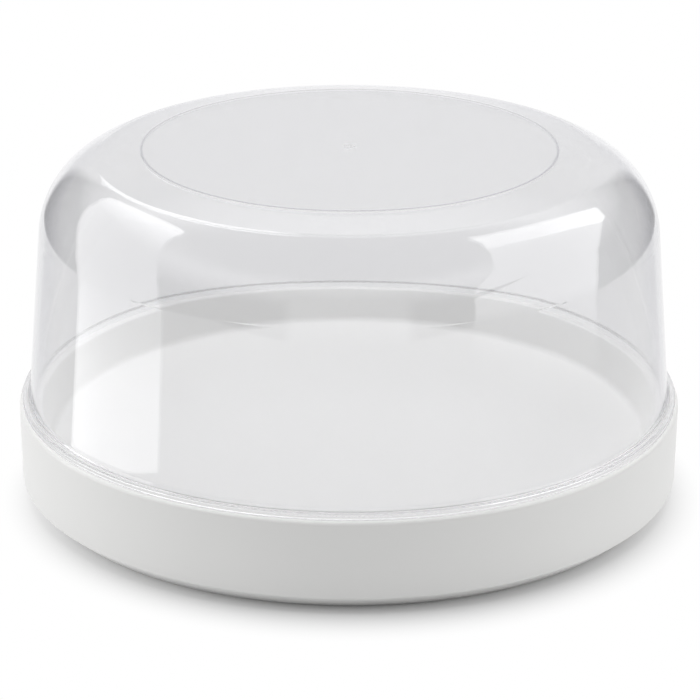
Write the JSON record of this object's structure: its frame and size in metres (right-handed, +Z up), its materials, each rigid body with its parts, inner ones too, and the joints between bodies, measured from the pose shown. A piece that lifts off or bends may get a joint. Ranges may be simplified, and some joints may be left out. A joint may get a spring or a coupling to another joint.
{
  "type": "cake keeper",
  "caption": "Round cake keeper: a low white serving tray with a raised floor and a tall clear lid whose flange rests on the ledge of the tray's rim, round a low bead, and lifts straight off.",
  "frame": {"origin": "centre of the circle on which the tray stands, at table height", "axes": "+Z up along the axis of the tray and the lid; X and Y level, with no front or back, as the object is round"},
  "size_m": [0.2994, 0.2994, 0.1578],
  "materials": {
    "tray_plastic": "satin white moulded plastic",
    "lid_plastic": "polished clear moulded plastic"
  },
  "bodies": {
    "tray": {"serving_tray": "tray_plastic"},
    "lid": {"clear_lid": "lid_plastic"}
  },
  "joints": [
    {"name": "lid_lift", "type": "slide", "parent": "tray", "child": "lid", "axis": [0, 0, 1], "range_m": [0, 0.16]}
  ]
}
